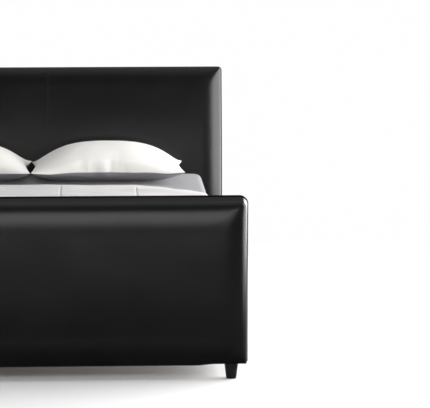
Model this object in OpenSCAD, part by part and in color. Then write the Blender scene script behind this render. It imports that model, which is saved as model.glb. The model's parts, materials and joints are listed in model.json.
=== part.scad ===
// Upholstered sleigh bed with a curved headboard and footboard, padded side
// rails, a slatted base, a mattress and its bedding. Millimetres, +Z up.
// The headboard stands at +Y, the footboard at -Y, and the origin is on the
// floor under the middle of the bed.

/* [Mattress] */
// Width of the mattress
mattress_w = 1524; // [1200:1:1900]
// Length of the mattress
mattress_l = 2032; // [1700:1:2400]
// Thickness of the mattress
mattress_t = 280; // [180:1:360]
// Radius of the mattress corners, seen from above
mattress_corner_r = 60; // [30:1:120]
// Free space between the mattress and each side rail
mattress_side_gap = 28; // [24:1:60]
// Free space between the mattress and the headboard
mattress_head_gap = 12; // [8:1:60]
// Free space between the mattress and the footboard
mattress_foot_gap = 30; // [8:1:60]

/* [Bedding] */
// Thickness of the fitted sheet
sheet_t = 1.5; // [1:0.5:3]
// Height of the fitted sheet's hem above the underside of the mattress
sheet_hem = 8; // [4:1:60]
// Thickness of the duvet
duvet_t = 26; // [12:1:60]
// Thickness of the duvet where it hangs at the sides
duvet_side_t = 14; // [8:1:18]
// How far the duvet hangs down at the sides
duvet_drop = 150; // [60:1:200]
// Bare length of mattress at the head end of the duvet
duvet_head_bare = 505; // [300:1:900]
// Bare length of mattress at the foot end of the duvet
duvet_foot_bare = 12; // [5:1:200]
// Width of a pillow between its side seams
pillow_w = 748; // [500:1:780]
// Depth of a pillow between its front and back seams
pillow_d = 470; // [350:1:480]
// Height of a plump pillow at its crown
pillow_h = 196; // [100:1:240]
// Space between the two pillows
pillow_gap = 2; // [2:1:60]
// How far the pair of pillows lies to the right of the bed's middle
pillow_shift = -84; // [-100:1:80]
// Space between the pillows and the head end of the mattress
pillow_back_gap = 8; // [4:1:20]

/* [Boards] */
// Thickness of the headboard and the footboard
board_t = 110; // [100:1:160]
// How far the boards reach past the outer faces of the side rails
board_overhang = 35; // [10:1:80]
// Thickness of the leather
cover_t = 1.5; // [1:0.5:3]
// Thickness of the plywood panels on the frames
panel_t = 5; // [3:0.5:9]
// Thickness of the foam round the sides and the top of a frame
side_pad_t = 18; // [8:1:30]
// Thickness of the foam under a frame
base_pad_t = 4; // [2:1:10]
// Diameter of the welt round the plain side of a board
welt_d = 8; // [5:1:12]
// Width of the posts inside a board
post_w = 140; // [130:1:200]
// Height of the top rails inside the boards
top_rail_h = 70; // [40:1:120]
// Height of the bottom rails inside the boards
bottom_rail_h = 100; // [60:1:130]
// Width of the ribs inside the boards
rib_w = 130; // [120:1:160]
// Number of ribs inside each board
rib_n = 3; // [1:2:5]
// Radius of the lower corners of the boards
base_corner_r = 15; // [5:1:25]

/* [Headboard] */
// Height of the headboard above the floor
head_h = 1150; // [900:1:1400]
// Height at which the headboard starts to curve back
head_bend_z = 450; // [400:1:600]
// How far the top of the headboard leans back
head_lean = 60; // [30:1:160]
// Thickness of the foam on the front of the headboard
head_pad_t = 40; // [20:1:50]
// Radius of the upper corners of the headboard
head_corner_r = 20; // [6:1:60]

/* [Footboard] */
// Height of the footboard above the floor
foot_h = 800; // [650:1:960]
// Height at which the footboard starts to curve out
foot_bend_z = 350; // [320:1:420]
// How far the top of the footboard leans out
foot_lean = 35; // [20:1:120]
// Thickness of the foam on the front of the footboard
foot_pad_t = 50; // [20:1:55]
// Radius of the upper corners of the footboard
foot_corner_r = 40; // [6:1:60]

/* [Side rails] */
// Height of the underside of the side rails
rail_z = 110; // [90:1:130]
// Height of the side rails from edge to edge
rail_h = 290; // [240:1:340]
// Thickness of the wooden core of a side rail
rail_core_t = 27; // [18:1:40]
// Thickness of the foam on the outer face and the top of a side rail
rail_pad_t = 20; // [8:1:30]

/* [Slat base] */
// Height of the top of the slats
slat_top_z = 340; // [320:1:360]
// Number of slats on each side of the centre beam
slat_n = 13; // [8:1:16]
// Width of a slat
slat_w = 68; // [40:1:80]
// Thickness of a slat
slat_t = 12; // [8:1:18]
// Bare length of the base between each board and the first slat
slat_end_gap = 60; // [30:1:120]
// How far a slat reaches into its outer holder
slat_seat = 32; // [15:1:40]
// Wall thickness of the slat holders
holder_wall = 4; // [2:0.5:5]
// Width of the ledger strips on the side rails
ledger_w = 40; // [40:1:60]
// Height of the ledger strips on the side rails
ledger_h = 38; // [25:1:45]
// Width of the centre beam
beam_w = 45; // [38:1:60]
// Height of the centre beam
beam_h = 70; // [50:1:90]

/* [Support legs] */
// Distance from the middle of the bed to each support leg under the beam
support_y = 440; // [200:1:600]
// Outer radius of a support leg's tube
support_r = 19; // [15:1:22]
// Wall thickness of a support leg's tube
support_wall = 2; // [1:0.5:4]
// Thickness of the plate on top of a support leg
support_plate_t = 4; // [3:0.5:6]
// Radius of a levelling foot's pad
level_pad_r = 23; // [20:1:35]
// Thickness of a levelling foot's pad
level_pad_t = 8; // [5:1:15]
// Radius of a levelling foot's stem
level_stem_r = 5; // [4:0.5:6]
// Length of a levelling foot's stem
level_stem_l = 55; // [45:1:90]

/* [Corner legs] */
// Height of the boards above the floor
leg_h = 68; // [50:1:90]
// Radius of a corner leg at its top
leg_top_r = 30; // [24:1:36]
// Radius of a corner leg at its foot
leg_foot_r = 22; // [16:1:30]
// Distance from a board's end to the middle of a corner leg
leg_inset = 73; // [60:1:100]
// Thickness of the glides under the corner legs
glide_t = 3; // [2:0.5:6]

/* [Hardware] */
// Radius of the bolts
bolt_r = 4; // [3:0.5:5]
// Radius of the threaded inserts
insert_r = 6.5; // [6:0.5:8]
// Length of the threaded inserts
insert_l = 22; // [12:1:28]
// Sheet thickness of the brackets and hangers
bracket_t = 3; // [2:0.5:5]
// Height of a corner bracket
bracket_h = 110; // [80:1:120]
// Width of each leg of a corner bracket
bracket_w = 58; // [45:1:60]
// Radius of the wood screws
screw_r = 2.5; // [2:0.5:3]
// Length of the wood screws
screw_l = 22; // [14:1:24]

/* [Hidden] */
$fn = 64;

// The two ends of the bed index every pair of values below.
HEAD = 0;
FOOT = 1;
LEFT = -1;
RIGHT = 1;

// Small clearances: between loose pieces, round bolts, and round inserts.
loose = 0.5;
bolt_play = 0.5;
snug = 0.05;

rail_t = 2 * cover_t + rail_core_t + rail_pad_t;
rail_in_x = mattress_w / 2 + mattress_side_gap;
rail_out_x = rail_in_x + rail_t;
board_w = 2 * (rail_out_x + board_overhang);
inner_l = mattress_l + mattress_head_gap + mattress_foot_gap;

top_z = [head_h, foot_h];
bend_z = [head_bend_z, foot_bend_z];
lean = [head_lean, foot_lean];
pad_t = [head_pad_t, foot_pad_t];
corner_r = [head_corner_r, foot_corner_r];

// The bed side of a board is upright up to its bend and then follows an arc,
// whose radius comes from how high the arc climbs and how far it leans.
function rise(e) = top_z[e] - bend_z[e];
function arc_r(e) = (rise(e) * rise(e) + lean[e] * lean[e]) / (2 * lean[e]);
function end_angle(e) = asin(rise(e) / arc_r(e));
function reach(e) = lean[e] + board_t * cos(end_angle(e));
overall_l = inner_l + reach(HEAD) + reach(FOOT);
face_y = [overall_l / 2 - reach(HEAD), reach(FOOT) - overall_l / 2];

// Depths behind the padded face of a board, layer by layer.
function panel_p(e) = cover_t + pad_t[e];
function frame_p(e) = panel_p(e) + panel_t;
back_pad_p = board_t - cover_t - welt_d;
back_panel_p = back_pad_p - panel_t;
back_cover_p = board_t - cover_t;

frame_x = board_w / 2 - cover_t - side_pad_t;
frame_top = cover_t + side_pad_t;
frame_z = leg_h + cover_t + base_pad_t;
post_x = frame_x - post_w;
leg_x = board_w / 2 - leg_inset;

mattress_z = slat_top_z + loose;
sheet_top_z = mattress_z + mattress_t + sheet_t;
bedding_z = sheet_top_z + loose;
mattress_y0 = face_y[FOOT] + mattress_foot_gap;
mattress_y1 = mattress_y0 + mattress_l;

slat_z = slat_top_z - slat_t;
ledger_top_z = slat_z - holder_wall;
slat_pitch = (inner_l - 2 * slat_end_gap - slat_w) / (slat_n - 1);
slat_out_x = rail_in_x - holder_wall - loose;
slat_in_x = holder_wall / 2 + loose;
holder_w = slat_w + 2 * (holder_wall + loose);
beam_z = ledger_top_z - beam_h;

bracket_z = min(rail_z + 40, ledger_top_z - ledger_h - bracket_h - 6);
bracket_bolt_x = rail_in_x - bracket_t - bracket_w / 2;
bracket_bolt_z = [bracket_z + bracket_h / 4, bracket_z + bracket_h * 3 / 4];
hanger_wing = 36;
hanger_l = 55;
hanger_gap = 0.5;
hanger_half_w = beam_w / 2 + hanger_gap + bracket_t;
hanger_bolt_x = hanger_half_w + hanger_wing / 2;
bolt_head_r = bolt_r * 1.75;
bolt_head_h = 5;
screw_head_r = screw_r * 2;
screw_head_h = 2;
screw_y = bracket_w * 0.62;
ledger_screw_n = 6;
support_screw_y = support_r + 14;
support_plate_l = 2 * support_screw_y + 16;
support_plate_w = beam_w + 5;
plug_l = 34;
stud_sunk = 28;
pillow_corner_r = 30;
overshoot = 400;

// [x, z] of the bolts in one board: the corner brackets, then the hanger.
function board_bolts() = concat(
    [for (s = [LEFT, RIGHT], z = bracket_bolt_z) [s * bracket_bolt_x, z]],
    [for (s = [LEFT, RIGHT]) [s * hanger_bolt_x, beam_z + beam_h / 2]]);

// Depth of the frame behind the bed side of a board, and of its legs.
function frame_depth(e) = e == HEAD ? frame_p(HEAD) : board_t - back_panel_p;
function leg_y(e) = frame_depth(e) + (back_panel_p - frame_p(e)) / 2;

// ---- placing -------------------------------------------------------------

// Local frame of a board: y = 0 on its bed side, and +y away from the bed.
module away_from_bed(e)
    translate([0, face_y[e], 0]) mirror([0, e == FOOT ? 1 : 0, 0]) children();

// Local frame of a board: y = 0 on its bed side, and +y into the bed.
module into_bed(e)
    translate([0, face_y[e], 0]) mirror([0, e == HEAD ? 1 : 0, 0]) children();

module on_side(s) mirror([s == LEFT ? 1 : 0, 0, 0]) children();

module at_corners() for (e = [HEAD, FOOT], s = [LEFT, RIGHT]) into_bed(e) on_side(s) children();

// A cylinder along +y that starts at y = y0.
module rod(x, z, r, y0, len) translate([x, y0, z]) rotate([-90, 0, 0]) cylinder(h = len, r = r);

// ---- boards --------------------------------------------------------------

// Section of one layer, d1 to d2 away from the bed side: upright, then curved.
module layer_section(e, d1, d2, z0) {
    r = arc_r(e);
    fan = end_angle(e) + 6;
    translate([d1, z0]) square([d2 - d1, bend_z[e] - z0]);
    translate([r, bend_z[e]]) intersection() {
        difference() {
            circle(r = r - d1, $fn = 256);
            circle(r = r - d2, $fn = 256);
        }
        polygon([[0, 0], [-2 * r, 0], [-2 * r, 2 * r * tan(fan)]]);
    }
}

// Rectangle x0..x1, y0..y1 with both corners at y1 rounded, unless r is 0.
module tablet(x0, x1, y0, y1, r) {
    translate([x0, y0]) square([x1 - x0, y1 - y0 - r]);
    if (r > 0) {
        translate([x0 + r, y0]) square([x1 - x0 - 2 * r, y1 - y0]);
        for (x = [x0 + r, x1 - r]) translate([x, y1 - r]) circle(r = r);
    }
}

// A piece of a board: layer p1..p2 behind the padded face, x0..x1 across,
// "top" short of the upper end, from z0 up. "band" keeps only that much of
// its upper end. The corner radius belongs to pieces that span the board.
module slab(e, p1, p2, x0, x1, top, z0, r_top = 0, band = 0) {
    d1 = e == HEAD ? p1 : board_t - p2;
    d2 = e == HEAD ? p2 : board_t - p1;
    low = band > 0 ? -top - band : -top_z[e] - overshoot;
    away_from_bed(e) intersection() {
        translate([x0 - overshoot, 0, 0]) rotate([90, 0, 90])
            linear_extrude(x1 - x0 + 2 * overshoot) layer_section(e, d1, d2, z0);
        translate([0, arc_r(e), bend_z[e]]) rotate([90 - end_angle(e), 0, 0])
            linear_extrude(arc_r(e) + overshoot) tablet(x0, x1, low, -top, r_top);
    }
}

// What is cut off a board's lower corners to round them, at x and z0.
module base_corner(x, z0, r) difference() {
    translate([x - r, -overall_l / 2, z0 - 1]) cube([r + 1, overall_l, r + 1]);
    translate([x - r, -overall_l / 2 - 1, z0 + r]) rotate([-90, 0, 0]) cylinder(h = overall_l + 2, r = r);
}

// A piece that spans the board, set in from its sides, top and base.
module wide_slab(e, p1, p2, inset, base = 0) {
    x = board_w / 2 - inset;
    difference() {
        slab(e, p1, p2, -x, x, inset, leg_h + base, max(corner_r[e] - inset, 2));
        for (s = [LEFT, RIGHT]) on_side(s)
            base_corner(x, leg_h + base, max(base_corner_r - inset, 2));
    }
}

// Holes for the bolts, from the bed side through everything up to the frame.
module bolt_holes(e)
    for (b = board_bolts()) away_from_bed(e)
        rod(b[0], b[1], bolt_r + bolt_play, -1, frame_depth(e) + 1.5);

// Holes for the inserts, in the frame.
module insert_holes(e) {
    for (b = board_bolts()) away_from_bed(e)
        rod(b[0], b[1], insert_r + snug, frame_depth(e) - 1, insert_l + 1);
    leg_insert_holes(e);
}

module leg_insert_holes(e)
    for (s = [LEFT, RIGHT]) away_from_bed(e)
        translate([s * leg_x, leg_y(e), frame_z - 1]) cylinder(h = insert_l + 1, r = insert_r + snug);

module stud_holes(e)
    for (s = [LEFT, RIGHT]) away_from_bed(e)
        translate([s * leg_x, leg_y(e), leg_h - 1]) cylinder(h = frame_z - leg_h + 2, r = bolt_r + bolt_play);

module post(e, s) color("burlywood") difference() {
    slab(e, frame_p(e), back_panel_p, s == LEFT ? -frame_x : post_x, s == LEFT ? -post_x : frame_x,
         frame_top, frame_z);
    insert_holes(e);
}

module top_rail(e) color("burlywood")
    slab(e, frame_p(e), back_panel_p, -post_x, post_x, frame_top, frame_z, band = top_rail_h);

module bottom_rail(e) color("burlywood")
    intersection() {
        slab(e, frame_p(e), back_panel_p, -post_x, post_x, frame_top, frame_z);
        translate([-post_x, -overall_l / 2, frame_z]) cube([2 * post_x, overall_l, bottom_rail_h]);
    }

module ribs(e) color("burlywood") difference() {
    for (i = [1 : rib_n]) {
        x = -post_x + 2 * post_x * i / (rib_n + 1);
        slab(e, frame_p(e), back_panel_p, x - rib_w / 2, x + rib_w / 2, frame_top + top_rail_h,
             frame_z + bottom_rail_h);
    }
    insert_holes(e);
}

module panel(e, p) color("tan") difference() {
    slab(e, p, p + panel_t, -frame_x, frame_x, frame_top, frame_z);
    bolt_holes(e);
}

module foam(e) color("khaki") difference() {
    wide_slab(e, cover_t, back_pad_p, cover_t, cover_t);
    slab(e, panel_p(e), board_t, -frame_x, frame_x, frame_top, frame_z);
    bolt_holes(e);
    stud_holes(e);
}

module back_pad(e) color("khaki") difference() {
    wide_slab(e, back_pad_p, back_cover_p, welt_d);
    bolt_holes(e);
}

module cover(e) color("black") difference() {
    wide_slab(e, 0, back_pad_p, 0);
    wide_slab(e, cover_t, board_t, cover_t, cover_t);
    bolt_holes(e);
    stud_holes(e);
}

module back_cover(e) color("black") difference() {
    wide_slab(e, back_cover_p, board_t, 0);
    bolt_holes(e);
}

module welt(e) color("black") difference() {
    wide_slab(e, back_pad_p, back_cover_p, 0);
    wide_slab(e, back_pad_p - 1, board_t, welt_d, -overshoot / 10);
}

// One half of the headboard's leather, sewn to the other on the centre line.
module cover_half(s) intersection() {
    cover(HEAD);
    on_side(s) cube([board_w, overall_l, top_z[HEAD] + overshoot]);
}

module headboard_post_left() post(HEAD, LEFT);
module headboard_post_right() post(HEAD, RIGHT);
module headboard_top_rail() top_rail(HEAD);
module headboard_bottom_rail() bottom_rail(HEAD);
module headboard_ribs() ribs(HEAD);
module headboard_front_panel() panel(HEAD, panel_p(HEAD));
module headboard_back_panel() panel(HEAD, back_panel_p);
module headboard_foam() foam(HEAD);
module headboard_back_pad() back_pad(HEAD);
module headboard_cover_left() cover_half(LEFT);
module headboard_cover_right() cover_half(RIGHT);
module headboard_back_cover() back_cover(HEAD);
module headboard_welt() welt(HEAD);

module footboard_post_left() post(FOOT, LEFT);
module footboard_post_right() post(FOOT, RIGHT);
module footboard_top_rail() top_rail(FOOT);
module footboard_bottom_rail() bottom_rail(FOOT);
module footboard_ribs() ribs(FOOT);
module footboard_front_panel() panel(FOOT, panel_p(FOOT));
module footboard_back_panel() panel(FOOT, back_panel_p);
module footboard_foam() foam(FOOT);
module footboard_back_pad() back_pad(FOOT);
module footboard_cover() cover(FOOT);
module footboard_back_cover() back_cover(FOOT);
module footboard_welt() welt(FOOT);

// ---- side rails ----------------------------------------------------------

// A bar along the bed between the boards, x0..x1 by z0..z1, on the right.
module bar(x0, x1, z0, z1, over = 0)
    translate([x0, face_y[FOOT] - over, z0]) cube([x1 - x0, inner_l + 2 * over, z1 - z0]);

// [y, z, x of the head's seat] of the screws that go into the right rail.
function rail_screws() = concat(
    [for (e = [HEAD, FOOT], z = bracket_bolt_z)
        [face_y[e] + (e == HEAD ? -screw_y : screw_y), z, rail_in_x - bracket_t]],
    [for (i = [1 : ledger_screw_n])
        [face_y[FOOT] + inner_l * (i - 0.5) / ledger_screw_n, ledger_top_z - ledger_h / 2,
         rail_in_x - ledger_w]]);

// Holes for those screws, through the bracket or ledger and into the core.
module screw_holes() for (s = [LEFT, RIGHT], p = rail_screws()) on_side(s)
    translate([p[2] - 1, p[0], p[1]]) rotate([0, 90, 0])
    cylinder(h = rail_in_x - p[2] + 1 + screw_l, r = screw_r + snug);

module rail_core(s) color("burlywood") difference() {
    on_side(s) bar(rail_in_x + cover_t, rail_in_x + cover_t + rail_core_t, rail_z + cover_t,
                   rail_z + rail_h - cover_t - rail_pad_t);
    screw_holes();
}

module rail_foam(s) color("khaki") on_side(s) difference() {
    bar(rail_in_x + cover_t, rail_out_x - cover_t, rail_z + cover_t, rail_z + rail_h - cover_t);
    bar(rail_in_x, rail_in_x + cover_t + rail_core_t, rail_z, rail_z + rail_h - cover_t - rail_pad_t, 1);
}

module rail_cover(s) color("black") difference() {
    on_side(s) difference() {
        bar(rail_in_x, rail_out_x, rail_z, rail_z + rail_h);
        bar(rail_in_x + cover_t, rail_out_x - cover_t, rail_z + cover_t, rail_z + rail_h - cover_t, 1);
    }
    screw_holes();
}

module ledger(s) color("peru") difference() {
    on_side(s) bar(rail_in_x - ledger_w, rail_in_x, ledger_top_z - ledger_h, ledger_top_z);
    screw_holes();
}

module side_rail_core_left() rail_core(LEFT);
module side_rail_core_right() rail_core(RIGHT);
module side_rail_foam_left() rail_foam(LEFT);
module side_rail_foam_right() rail_foam(RIGHT);
module side_rail_cover_left() rail_cover(LEFT);
module side_rail_cover_right() rail_cover(RIGHT);
module ledger_left() ledger(LEFT);
module ledger_right() ledger(RIGHT);

// ---- slat base -----------------------------------------------------------

module centre_beam() color("peru") difference() {
    translate([-beam_w / 2, face_y[FOOT] + bracket_t + loose, beam_z])
        cube([beam_w, inner_l - 2 * (bracket_t + loose), beam_h]);
    for (y = [-support_y, support_y]) support_screw_holes(y);
}

// A stirrup on a board's bed side that carries one end of the beam.
module beam_hanger(e) color("dimgray") into_bed(e) difference() {
    union() {
        translate([-hanger_half_w - hanger_wing, 0, beam_z - bracket_t])
            cube([2 * (hanger_half_w + hanger_wing), bracket_t, beam_h + bracket_t]);
        translate([-hanger_half_w, 0, beam_z - bracket_t])
            cube([2 * hanger_half_w, hanger_l, beam_h + bracket_t]);
    }
    translate([-beam_w / 2 - hanger_gap, bracket_t, beam_z])
        cube([beam_w + 2 * hanger_gap, hanger_l, beam_h + 1]);
    for (x = [-hanger_bolt_x, hanger_bolt_x])
        rod(x, beam_z + beam_h / 2, bolt_r + bolt_play, -1, bracket_t + 2);
}

module beam_hanger_head() beam_hanger(HEAD);
module beam_hanger_foot() beam_hanger(FOOT);

// Each slat's place along the bed.
module along_slats() for (i = [0 : slat_n - 1])
    translate([0, face_y[FOOT] + slat_end_gap + slat_w / 2 + i * slat_pitch, 0]) children();

module slats(s) color("wheat") along_slats() on_side(s)
    translate([slat_in_x, -slat_w / 2, slat_z]) cube([slat_out_x - slat_in_x, slat_w, slat_t]);

// A tray with a floor, two side walls and one end wall, open at the top.
module holder_tray(x0, x1) difference() {
    translate([x0, -holder_w / 2, ledger_top_z]) cube([x1 - x0, holder_w, holder_wall + slat_t]);
    translate([x0 - 1, -slat_w / 2 - loose, slat_z])
        cube([x1 - x0 + 1 - holder_wall, slat_w + 2 * loose, slat_t + 1]);
}

module slat_holders_outer() color("dimgray") along_slats() for (s = [LEFT, RIGHT]) on_side(s)
    holder_tray(slat_out_x + loose - slat_seat, rail_in_x);

module slats_left() slats(LEFT);
module slats_right() slats(RIGHT);

// The centre holders take two slats end to end, with a rib between them.
module slat_holders_centre() color("dimgray") along_slats() difference() {
    translate([-slat_seat, -holder_w / 2, ledger_top_z])
        cube([2 * slat_seat, holder_w, holder_wall + slat_t]);
    for (s = [LEFT, RIGHT]) on_side(s) translate([holder_wall / 2, -slat_w / 2 - loose, slat_z])
        cube([slat_seat, slat_w + 2 * loose, slat_t + 1]);
}

// ---- support legs under the beam -----------------------------------------

module at_support_screws(y) for (x = [-beam_w / 4, beam_w / 4], dy = [-support_screw_y, support_screw_y])
    translate([x, y + dy, beam_z - support_plate_t]) children();

module support_screw_holes(y) at_support_screws(y) translate([0, 0, -1])
    cylinder(h = support_plate_t + screw_l + 1, r = screw_r + snug);

// A steel tube with a plate on top, screwed under the beam.
module support_leg(y) color("dimgray") difference() {
    union() {
        translate([-support_plate_w / 2, y - support_plate_l / 2, beam_z - support_plate_t])
            cube([support_plate_w, support_plate_l, support_plate_t]);
        translate([0, y, level_pad_t + loose])
            cylinder(h = beam_z - support_plate_t / 2 - level_pad_t - loose, r = support_r);
    }
    translate([0, y, 0]) cylinder(h = beam_z - support_plate_t, r = support_r - support_wall);
    support_screw_holes(y);
}

// A plug in the lower end of each tube, threaded for the levelling foot.
module support_plugs() color("black") for (y = [-support_y, support_y])
    translate([0, y, level_pad_t + loose]) difference() {
        cylinder(h = plug_l, r = support_r - support_wall);
        translate([0, 0, -1]) cylinder(h = plug_l + 2, r = level_stem_r + snug);
    }

module levelling_foot(y) color("gray") translate([0, y, 0]) {
    cylinder(h = level_pad_t, r = level_pad_r);
    cylinder(h = level_pad_t + level_stem_l, r = level_stem_r);
}

module support_leg_head() support_leg(support_y);
module support_leg_foot() support_leg(-support_y);
module levelling_foot_head() levelling_foot(support_y);
module levelling_foot_foot() levelling_foot(-support_y);

// ---- hardware ------------------------------------------------------------

// An angle in each inner corner, bolted to the board and screwed to the rail.
module corner_brackets() color("dimgray") difference() {
    at_corners() {
        translate([rail_in_x - bracket_t, 0, bracket_z]) cube([bracket_t, bracket_w, bracket_h]);
        translate([rail_in_x - bracket_w, 0, bracket_z]) cube([bracket_w, bracket_t, bracket_h]);
    }
    screw_holes();
    at_corners() for (z = bracket_bolt_z)
        rod(bracket_bolt_x, z, bolt_r + bolt_play, -1, bracket_t + 2);
}

module frame_bolts() color("silver") for (e = [HEAD, FOOT], b = board_bolts()) away_from_bed(e) {
    rod(b[0], b[1], bolt_r, -bracket_t - 1, frame_depth(e) + insert_l + bracket_t);
    translate([b[0], -bracket_t, b[1]]) rotate([90, 0, 0])
        cylinder(h = bolt_head_h, r = bolt_head_r, $fn = 6);
}

// A screw along +z with its head's seat at z = 0.
module screw(len) {
    cylinder(h = len, r = screw_r);
    translate([0, 0, -screw_head_h]) cylinder(h = screw_head_h, r = screw_head_r);
}

module wood_screws() color("silver") {
    for (s = [LEFT, RIGHT], p = rail_screws()) on_side(s) translate([p[2], p[0], p[1]])
        rotate([0, 90, 0]) screw(rail_in_x - p[2] + screw_l - 1);
    for (y = [-support_y, support_y]) at_support_screws(y) screw(support_plate_t + screw_l - 1);
}

// Steel sleeves with an inner thread, in the posts and the centre ribs.
module threaded_inserts() color("goldenrod") for (e = [HEAD, FOOT]) {
    for (b = board_bolts()) away_from_bed(e) difference() {
        rod(b[0], b[1], insert_r, frame_depth(e), insert_l - 1);
        rod(b[0], b[1], bolt_r + snug, frame_depth(e) - 1, insert_l + 2);
    }
    for (s = [LEFT, RIGHT]) away_from_bed(e) translate([s * leg_x, leg_y(e), frame_z]) difference() {
        cylinder(h = insert_l - 1, r = insert_r);
        translate([0, 0, -1]) cylinder(h = insert_l + 2, r = bolt_r + snug);
    }
}

// ---- corner legs ---------------------------------------------------------

// A studded rod joins each leg to the insert above it.
module leg_studs() color("silver") for (e = [HEAD, FOOT], s = [LEFT, RIGHT]) away_from_bed(e)
    translate([s * leg_x, leg_y(e), leg_h - stud_sunk + 1])
    cylinder(h = stud_sunk - 1 + frame_z - leg_h + insert_l - 2, r = bolt_r);

module corner_leg(e, s) color("black") away_from_bed(e) translate([s * leg_x, leg_y(e), 0]) difference() {
    translate([0, 0, glide_t]) cylinder(h = leg_h - glide_t, r1 = leg_foot_r, r2 = leg_top_r);
    translate([0, 0, leg_h - stud_sunk]) cylinder(h = stud_sunk + 1, r = bolt_r + snug);
}

module leg_glides() color("dimgray") for (e = [HEAD, FOOT], s = [LEFT, RIGHT]) away_from_bed(e)
    translate([s * leg_x, leg_y(e), 0]) cylinder(h = glide_t, r = leg_foot_r - 2);

module corner_leg_foot_left() corner_leg(FOOT, LEFT);
module corner_leg_foot_right() corner_leg(FOOT, RIGHT);
module corner_leg_head_left() corner_leg(HEAD, LEFT);
module corner_leg_head_right() corner_leg(HEAD, RIGHT);

// ---- mattress and bedding ------------------------------------------------

// A block with rounded upright corners, grown by "grow" on all four sides.
module mattress_block(grow, z0, z1) {
    r = mattress_corner_r + grow;
    x = mattress_w / 2 - mattress_corner_r;
    translate([0, 0, z0]) linear_extrude(z1 - z0) {
        translate([-x, mattress_y0 - grow]) square([2 * x, mattress_l + 2 * grow]);
        translate([-x - r, mattress_y0 - grow + r]) square([2 * (x + r), mattress_l + 2 * (grow - r)]);
        for (s = [LEFT, RIGHT], y = [mattress_y0, mattress_y1 - 2 * mattress_corner_r])
            translate([s * x, y + mattress_corner_r]) circle(r = r);
    }
}

module mattress() color("white")
    mattress_block(0, mattress_z, mattress_z + mattress_t);

module fitted_sheet() color("lightsteelblue") difference() {
    mattress_block(sheet_t, mattress_z + sheet_hem, sheet_top_z);
    mattress_block(0, mattress_z, mattress_z + mattress_t);
}

// The duvet lies on the sheet and hangs down a little on both sides.
module duvet() color("gainsboro") {
    y0 = mattress_y0 + duvet_foot_bare;
    l = mattress_l - duvet_foot_bare - duvet_head_bare;
    in_x = mattress_w / 2 + sheet_t + loose;
    translate([-in_x - duvet_side_t, y0, bedding_z]) cube([2 * (in_x + duvet_side_t), l, duvet_t]);
    for (s = [LEFT, RIGHT]) on_side(s)
        translate([in_x, y0 + mattress_corner_r, bedding_z + duvet_t - duvet_drop])
        cube([duvet_side_t, l - mattress_corner_r, duvet_drop]);
}

// A pillow bulges from a small base to its seam, and from there to its crown.
// Each ring gives a height and how much of the full outline it reaches.
module pillow(s) color("ivory")
    translate([pillow_shift + s * (pillow_gap + pillow_w) / 2,
               mattress_y1 - pillow_back_gap - pillow_d / 2, bedding_z]) hull()
    for (ring = [[0, 0.66], [0.2, 0.92], [0.4, 1], [0.75, 0.84], [1, 0.45]], x = [-1, 1], y = [-1, 1])
        translate([x * (pillow_w / 2 - pillow_corner_r) * ring[1],
                   y * (pillow_d / 2 - pillow_corner_r) * ring[1], ring[0] * (pillow_h - 1)])
        cylinder(h = 1, r = pillow_corner_r, $fn = 32);

module pillow_left() pillow(LEFT);
module pillow_right() pillow(RIGHT);

headboard_post_left();
headboard_post_right();
headboard_top_rail();
headboard_bottom_rail();
headboard_ribs();
headboard_front_panel();
headboard_back_panel();
headboard_foam();
headboard_back_pad();
headboard_cover_left();
headboard_cover_right();
headboard_back_cover();
headboard_welt();
footboard_post_left();
footboard_post_right();
footboard_top_rail();
footboard_bottom_rail();
footboard_ribs();
footboard_front_panel();
footboard_back_panel();
footboard_foam();
footboard_back_pad();
footboard_cover();
footboard_back_cover();
footboard_welt();
side_rail_core_left();
side_rail_core_right();
side_rail_foam_left();
side_rail_foam_right();
side_rail_cover_left();
side_rail_cover_right();
ledger_left();
ledger_right();
centre_beam();
beam_hanger_head();
beam_hanger_foot();
slats_left();
slats_right();
slat_holders_outer();
slat_holders_centre();
support_leg_head();
support_leg_foot();
support_plugs();
levelling_foot_head();
levelling_foot_foot();
corner_brackets();
frame_bolts();
wood_screws();
threaded_inserts();
leg_studs();
leg_glides();
corner_leg_foot_left();
corner_leg_foot_right();
corner_leg_head_left();
corner_leg_head_right();
mattress();
fitted_sheet();
duvet();
pillow_left();
pillow_right();
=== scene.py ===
"""An upholstered sleigh bed in black leather, made up with a sheet, a duvet and pillows."""
import json
import math

import bmesh
import bpy
import numpy as np
from mathutils import Euler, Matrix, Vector, noise


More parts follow.
